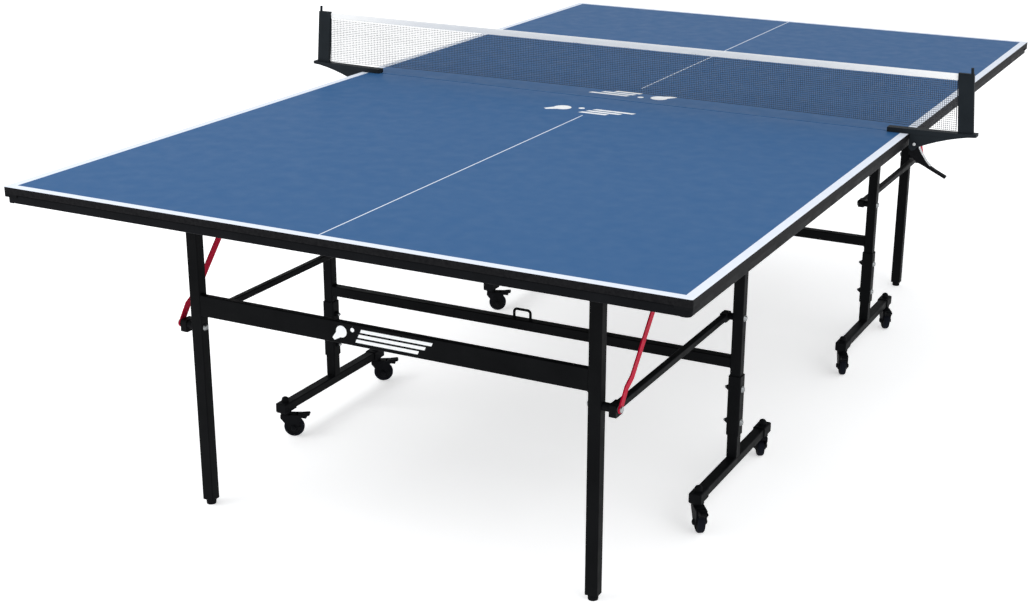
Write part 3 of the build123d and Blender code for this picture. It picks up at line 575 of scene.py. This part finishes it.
def net_strands():
    """Upright and level yarns that pass in front of and behind each other, thicker at the knots."""
    sides = 6
    ring = np.array([(math.cos(t), math.sin(t)) for t in (2 * math.pi * k / sides for k in range(sides))])
    rows = int((TAPE_LOW - NET_LOW - NET_BOW) / MESH_PITCH) + 1
    columns = int(TOP_HALF / MESH_PITCH)
    points, faces, start = [], [], 0

    def skin(path, radii, flat_axis):
        nonlocal start
        n = len(path)
        rings = np.repeat(path[:, None, :], sides, axis=1)
        rings[:, :, flat_axis] += ring[None, :, 0] * radii[:, None]
        rings[:, :, 1] += ring[None, :, 1] * radii[:, None]
        points.append(rings.reshape(-1, 3))
        i = np.arange(n - 1)[:, None] * sides
        j = np.arange(sides)[None, :]
        k = (j + 1) % sides
        quads = np.stack([i + j, i + k, i + sides + k, i + sides + j], axis=2).reshape(-1, 4)
        faces.append(quads + start)
        start += n * sides

    for c in range(-columns, columns + 1):
        x_top = c * MESH_PITCH
        low = net_floor(x_top)
        z = np.arange(low, TAPE_LOW + 2 * MM, MESH_PITCH / 2)
        z = np.append(z, TAPE_LOW + 2 * MM)
        x = x_top * (1 + LEAN * (NET_TOP - z) / TOP_HALF)
        phase = np.pi * (z - NET_LOW) / MESH_PITCH + np.pi * (c % 2)
        y = YARN_WAVE * np.cos(phase)
        knot = np.abs(np.cos(np.pi * (z - NET_LOW) / MESH_PITCH)) ** 6
        skin(np.stack([x, y, z], axis=1), YARN_R * (0.92 + 0.3 * knot), 0)
    for k in range(rows):
        share = k / rows
        reach = net_half_width(NET_LOW + share * (TAPE_LOW - NET_LOW)) + 0.5 * MM
        x = np.linspace(-reach, reach, int(2 * reach / (MESH_PITCH / 2)) + 1)
        z = net_floor(x) + share * (TAPE_LOW - net_floor(x)) + 0.2 * MM * np.sin(x * 9.0 + k)
        y = -YARN_WAVE * np.cos(np.pi * x / MESH_PITCH + np.pi * k)
        knot = np.abs(np.cos(np.pi * x / MESH_PITCH)) ** 6
        skin(np.stack([x, y, z], axis=1), YARN_R * (0.92 + 0.3 * knot), 2)
    mesh = bpy.data.meshes.new("net_mesh")
    all_points = np.concatenate(points)
    all_faces = np.concatenate(faces)
    mesh.from_pydata(all_points.tolist(), [], all_faces.tolist())
    mesh.materials.append(YARN)
    for polygon in mesh.polygons:
        polygon.use_smooth = True
    piece = bpy.data.objects.new("net_mesh", mesh)
    bpy.context.scene.collection.objects.link(piece)
    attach(piece, "net_set")
    return piece


def tape_wave(x):
    """How far the tape's lower edge wanders to one side at x."""
    return 0.15 * MM * math.sin(x * 40.0) + 0.10 * MM * math.sin(x * 97.0)


def tape_dip(x):
    """How far the tape sags at x."""
    return -0.8 * MM * (1 - (x / TOP_HALF) ** 2)


def net_tape():
    """White tape folded over the top cord, slightly wavy along its lower edges."""
    face = [(0.75, 0.0), (0.9, 0.25), (0.95, 0.6), (1.15, 0.84), (0.8, 0.96)]
    section = [(-y, v) for y, v in face] + [(0.0, 1.0)] + face[::-1]
    steps = 240
    tape = Solid()
    rings = []
    for k in range(steps + 1):
        x = -TOP_HALF + 2 * TOP_HALF * k / steps
        wave = tape_wave(x)
        rings.append([(x, y * TAPE_HALF_T + wave * (1 - v),
                       TAPE_LOW + tape_dip(x) + TAPE_H * v + wave * 0.4 * (1 - v)) for y, v in section])
    tape.rings(rings)
    return tape.piece("net_tape", TAPE, "net_set", "net_cord")


def tape_stitches():
    """A row of lock stitches near the tape's lower edge, on both faces."""
    rows = Solid()
    pitch, length, rise = 4.0 * MM, 2.8 * MM, 2.2 * MM
    count = int(2 * TOP_HALF / pitch) - 2
    for k in range(count):
        x = -TOP_HALF + pitch * (k + 1.2)
        z = TAPE_LOW + tape_dip(x) + rise
        for face in (-1, 1):
            y = face * 0.95 * MM + tape_wave(x) * 0.85
            path = [(x - length / 2, y - face * 0.2 * MM, z), (x - length / 4, y, z),
                    (x + length / 4, y, z), (x + length / 2, y - face * 0.2 * MM, z)]
            rows.tube(path, 0.22 * MM, sides=5)
    return rows.piece("tape_stitches", STITCH, "net_set", "net_cord")


def net_hems():
    """The thin cords along the net's lower edge and beside the posts."""
    hem = Solid()
    count = 80
    xs = [-FOOT_HALF + 2 * FOOT_HALF * k / count for k in range(count + 1)]
    hem.tube([(x, 0.0, net_floor(x)) for x in xs], HEM_R, sides=8)
    for side in (-1, 1):
        heights = [NET_LOW + (TAPE_LOW + 1 * MM - NET_LOW) * k / 20 for k in range(21)]
        hem.tube([(side * (net_half_width(z) - SIDE_HEM_R), 0.0, z) for z in heights], SIDE_HEM_R, sides=8)
    return hem.piece("net_hems", YARN, "net_set", "net_cord")


strands = net_strands()
tape_piece = net_tape()
stitches = tape_stitches()
hems = net_hems()
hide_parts("net")


# ---- Small parts: welds, plugs, screws, springs and caster details ----
def side_point(side, point, half="a"):
    """A point of half a's right side, put on either side of either half."""
    x, y, z = point
    return half_turn((side * x, y, z), half)


def weld(solid, start, stop, radius=1.9 * MM):
    """A weld bead with its ripples, along a straight corner."""
    start, stop = Vector(start), Vector(stop)
    count = max(4, int((stop - start).length / (1.1 * MM)))
    path = [start.lerp(stop, k / count) for k in range(count + 1)]
    radii = [radius * (0.55 if k in (0, count) else 0.86 + 0.14 * (k % 3)) for k in range(count + 1)]
    solid.tube(path, radii, sides=8)


def rounded_square(centre, half_x, half_y, z, corner=2.5 * MM):
    """A level ring of points round a rectangle with rounded corners."""
    cx, cy = centre
    ring = []
    for sx, sy, start in ((1, 1, 0), (-1, 1, 90), (-1, -1, 180), (1, -1, 270)):
        for k in range(5):
            t = math.radians(start + 22.5 * k)
            ring.append((cx + sx * (half_x - corner) + corner * math.cos(t),
                         cy + sy * (half_y - corner) + corner * math.sin(t), z))
    return ring


def tube_plug(solid, centre, half_x, half_y, z):
    """A shallow domed plug on the end of an upright tube."""
    steps = ((0.0, 0.2), (1.2, 0.2), (1.9, 1.0), (2.2, 2.6))
    solid.rings([rounded_square(centre, half_x - shrink * MM, half_y - shrink * MM, z + rise * MM)
                 for rise, shrink in steps])


def profile(*steps):
    """A turned form's profile, given in millimetres as (distance from its foot, radius)."""
    return [(along * MM, radius * MM) for along, radius in steps]


SCREW = profile((0.0, 4.3), (0.9, 4.1), (1.6, 2.9), (1.6, 1.5), (0.8, 1.3), (0.8, 0.1))
PIN_HEAD = profile((0.0, 3.9), (1.4, 3.8), (2.2, 2.9), (2.2, 1.5), (1.6, 1.3), (1.6, 0.1))
STEM_DOME = profile((0.0, 9.0), (7.0, 8.8), (10.5, 7.0), (12.4, 4.0), (13.0, 0.6))
AXLE_CAP = profile((0.0, 6.6), (2.6, 6.5), (3.8, 5.4), (4.6, 3.0), (4.8, 0.6))
LOOP_WELD = profile((0.0, 4.6), (0.8, 4.4), (2.2, 3.2), (2.6, 2.9))
WELD_GAP = 0.4 * MM
POST_WELD = 10 * MM


def chassis_details(half):
    """Weld beads, plugs on the posts' tops and domed covers over the casters' stems."""
    cover_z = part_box("foot_end_caps_" + half)[1].z - 0.1 * MM
    beads = Solid()
    for side in (-1, 1):
        for end in (-1, 1):
            y = POST_Y + end * (TUBE / 2 + WELD_GAP)
            ends = [(POST_X + way * POST_WELD, y, FOOT_BAR_TOP + WELD_GAP) for way in (-1, 1)]
            weld(beads, *[side_point(side, point, half) for point in ends])
        for z in (CROSSBAR_Z[0] - WELD_GAP, CROSSBAR_Z[1] + WELD_GAP):
            x = POST_X - TUBE / 2 - WELD_GAP
            ends = [(x, POST_Y + way * POST_WELD, z) for way in (-1, 1)]
            weld(beads, *[side_point(side, point, half) for point in ends])
        foot = side_point(side, (LOOP_HALF, POST_Y, CROSSBAR_Z[1]), half)
        beads.turned(LOOP_WELD, foot, (0, 0, 1), 16)
    beads.piece("chassis_welds_" + half, BLACK_STEEL, "chassis_" + half, "black_steel")
    plugs = Solid()
    covers = Solid()
    post_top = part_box("chassis_frame_" + half)[1].z
    for side in (-1, 1):
        x, y, z = side_point(side, (POST_X, POST_Y, post_top), half)
        tube_plug(plugs, (x, y), TUBE / 2, TUBE / 2, z)
        for y in CASTER_Y:
            covers.turned(STEM_DOME, side_point(side, (POST_X, y, cover_z), half), (0, 0, 1), 24)
    plugs.piece("post_plugs_" + half, BLACK_PLASTIC, "chassis_" + half, "black_plastic")
    covers.piece("stem_covers_" + half, BLACK_PLASTIC, "chassis_" + half, "black_plastic")


def leg_details(half):
    """Weld beads between band and legs, and plugs on the legs' tops."""
    beads, plugs = Solid(), Solid()
    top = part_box("end_legs_" + half)[1].z
    inner = LEG_X - LEG_W / 2 - WELD_GAP
    front, back = BAND_Y
    for side in (-1, 1):
        for z in (BAND_Z[0] - WELD_GAP, BAND_Z[1] + WELD_GAP):
            ends = [(inner, front + 1.5 * MM, z), (inner, back, z)]
            weld(beads, *[side_point(side, point, half) for point in ends])
        ends = [(inner, back + WELD_GAP, z) for z in (BAND_Z[0] + 2 * MM, BAND_Z[1] - 2 * MM)]
        weld(beads, *[side_point(side, point, half) for point in ends])
        x, y, z = side_point(side, (LEG_X, LEG_Y, top), half)
        tube_plug(plugs, (x, y), LEG_W / 2, TUBE / 2, z)
    beads.piece("band_welds_" + half, BLACK_STEEL, "leg_frame_" + half, "black_steel")
    plugs.piece("leg_plugs_" + half, BLACK_PLASTIC, "leg_frame_" + half, "black_plastic")


def underside_screws(half):
    """Pan-head screws up through the bearers into the board."""
    screws = Solid()
    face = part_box("apron_rails_" + half)[0].z + BEARER_LIFT
    for y in BEARER_Y:
        for x in SCREW_X:
            for side in (-1, 1):
                place = side_point(side, (x, y, face + 0.05 * MM), half)
                screws.turned(SCREW, place, (0, 0, -1), 16)
    screws.piece("frame_screws_" + half, ZINC, "tabletop_" + half, "zinc")


def leveller_ribs(tail):
    """Grip ribs round a levelling foot."""
    lo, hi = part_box("leveller_" + tail)
    cx, cy = (lo.x + hi.x) / 2, (lo.y + hi.y) / 2
    radius = (hi.x - lo.x) / 2 - 0.15 * MM
    count = 18
    ribs = Solid()
    for k in range(count):
        t = 2 * math.pi * k / count
        x, y = cx + radius * math.cos(t), cy + radius * math.sin(t)
        ribs.tube([(x, y, z * MM) for z in (1.5, 2.2, 8.6, 9.3)],
                  [r * MM for r in (0.2, 0.7, 0.7, 0.2)], sides=6)
    ribs.piece("leveller_ribs_" + tail, BLACK_PLASTIC, "leveller_" + tail, "black_plastic")


# The clamp lever's outer edge and the leaf spring that lies along it, in millimetres.
LEVER_EDGE = ((788.0, 735.0), (788.0, 727.5), (791.6, 720.3), (796.0, 712.0), (802.0, 704.0), (808.0, 696.0),
              (813.0, 691.0), (818.5, 686.4))
SPRING_GAP = 0.15
SPRING_BOW = 1.1
SPRING_T = 1.0
SPRING_HALF = 5.2
PIN_HEAD_Y = 11.05 * MM


def clamp_details(side_name):
    """The lever's leaf spring, and the two pan heads on its pin."""
    side = 1 if side_name == "right" else -1
    last = len(LEVER_EDGE) - 1
    spring = Solid()
    rings = []
    for k, (x, z) in enumerate(LEVER_EDGE):
        before, after = LEVER_EDGE[max(0, k - 1)], LEVER_EDGE[min(last, k + 1)]
        along = Vector((after[0] - before[0], after[1] - before[1])).normalized()
        out = Vector((-along.y, along.x))
        inner = Vector((x, z)) + out * (SPRING_GAP + SPRING_BOW * math.sin(math.pi * k / last))
        outer = inner + out * SPRING_T
        corners = ((inner, -SPRING_HALF), (inner, SPRING_HALF), (outer, SPRING_HALF), (outer, -SPRING_HALF))
        rings.append([(side * p.x * MM, y * MM, p.y * MM) for p, y in corners])
    spring.rings(rings)
    spring.piece("lever_spring_" + side_name, SPRING, "clamp_" + side_name, "zinc", smooth=False)
    heads = Solid()
    for face in (-1, 1):
        place = (side * LEVER_PIVOT.x, face * PIN_HEAD_Y, LEVER_PIVOT.z)
        heads.turned(PIN_HEAD, place, (0, face, 0), 20)
    heads.piece("lever_pin_heads_" + side_name, SPRING, "net_set", "zinc")


SPOKES = 6
SPOKE_PLANE = 6.4 * MM
SPOKE_SPAN = (8.5 * MM, 18.5 * MM)
SPOKE_R = 1.3 * MM
PEDAL_HEEL = Vector((46.0 * MM, 60.1 * MM))      # distance behind the stem, and height
PEDAL_TIP = Vector((58.5 * MM, 61.1 * MM))
PEDAL_HALF = 7.0 * MM
PEDAL_RIB_R = 0.8 * MM


def caster_details(tail):
    """Axle caps on the fork, spokes in the wheel's faces and ribs on the brake pedal."""
    swivel = Vector(JOINTS["caster_swivel_" + tail]["pos_m"])
    axle = Vector(JOINTS["wheel_spin_" + tail]["pos_m"])
    across = Vector(JOINTS["wheel_spin_" + tail]["axis"]).normalized()
    trail = Vector((axle.x - swivel.x, axle.y - swivel.y, 0)).normalized()
    caps = Solid()
    for face in (-1, 1):
        caps.turned(AXLE_CAP, axle + across * face * FORK_OUTER, across * face, 20)
    caps.piece("axle_caps_" + tail, FORK_PLASTIC, "caster_fork_" + tail, "black_plastic")
    spokes = Solid()
    for face in (-1, 1):
        place = axle + across * face * SPOKE_PLANE
        for k in range(SPOKES):
            t = 2 * math.pi * k / SPOKES
            out = trail * math.cos(t) + Vector((0, 0, 1)) * math.sin(t)
            spokes.tube([place + out * reach for reach in SPOKE_SPAN], SPOKE_R, sides=8)
    spokes.piece("wheel_spokes_" + tail, HUB, "caster_wheel_" + tail, "tread")
    ribs = Solid()
    for share in (0.15, 0.40, 0.65, 0.90):
        back, up = PEDAL_HEEL.lerp(PEDAL_TIP, share)
        place = Vector((swivel.x, swivel.y, up)) + trail * back
        ribs.tube([place - across * PEDAL_HALF, place + across * PEDAL_HALF], PEDAL_RIB_R, sides=8)
    ribs.piece("pedal_ribs_" + tail, FORK_PLASTIC, "caster_brake_" + tail, "black_plastic")


for half in HALVES:
    chassis_details(half)
    leg_details(half)
    underside_screws(half)
    for side_name in ("left", "right"):
        leveller_ribs(half + "_" + side_name)
for side_name in ("left", "right"):
    clamp_details(side_name)
for tail in CASTERS:
    caster_details(tail)


# ---- Floor, light and colour management ----
FLOOR_HALF = 40.0
FLOOR_GREY = (0.93, 0.93, 0.935)
FLOOR_WHITE = (0.95, 0.95, 0.95)
FLOOR_GLOW = 0.50
SKY = (0.97, 0.985, 1.0)
SKY_STRENGTH = 0.85


def floor():
    """A plain pale floor."""
    s = Shader("floor_paint", Specular_IOR_Level=0.1)
    s.set("Base Color", s.mix(s.spread(s.noise(2.0, 3.0), 0.3, 0.7), FLOOR_GREY, FLOOR_WHITE))
    s.set("Roughness", s.spread(s.noise(6.0), 0.3, 0.7, 0.75, 0.85))
    s.set("Emission Color", (1.0, 1.0, 1.0))
    s.set("Emission Strength", FLOOR_GLOW)
    mesh = bpy.data.meshes.new("floor")
    corners = [(x * FLOOR_HALF, y * FLOOR_HALF, 0) for x, y in ((-1, -1), (1, -1), (1, 1), (-1, 1))]
    mesh.from_pydata(corners, [], [(0, 1, 2, 3)])
    mesh.materials.append(s.material)
    ground = bpy.data.objects.new("floor", mesh)
    bpy.context.scene.collection.objects.link(ground)


def area_light(name, place, aim, size, power):
    data = bpy.data.lights.new(name, "AREA")
    data.shape = "DISK"
    data.size = size
    data.energy = power
    light = bpy.data.objects.new(name, data)
    light.location = place
    light.rotation_euler = (Vector(aim) - Vector(place)).to_track_quat("-Z", "Y").to_euler()
    bpy.context.scene.collection.objects.link(light)


def world_light():
    world = bpy.data.worlds.new("studio")
    world.use_nodes = True
    sky = world.node_tree.nodes["Background"].inputs
    sky["Color"].default_value = (*SKY, 1.0)
    sky["Strength"].default_value = SKY_STRENGTH
    bpy.context.scene.world = world


floor()
world_light()
area_light("key", (-2.6, -2.8, 3.6), (0, -0.2, 0.6), 3.0, 60.0)
area_light("fill", (3.6, -2.0, 2.6), (0, -0.2, 0.5), 3.0, 30.0)
bpy.context.scene.view_settings.view_transform = "Standard"
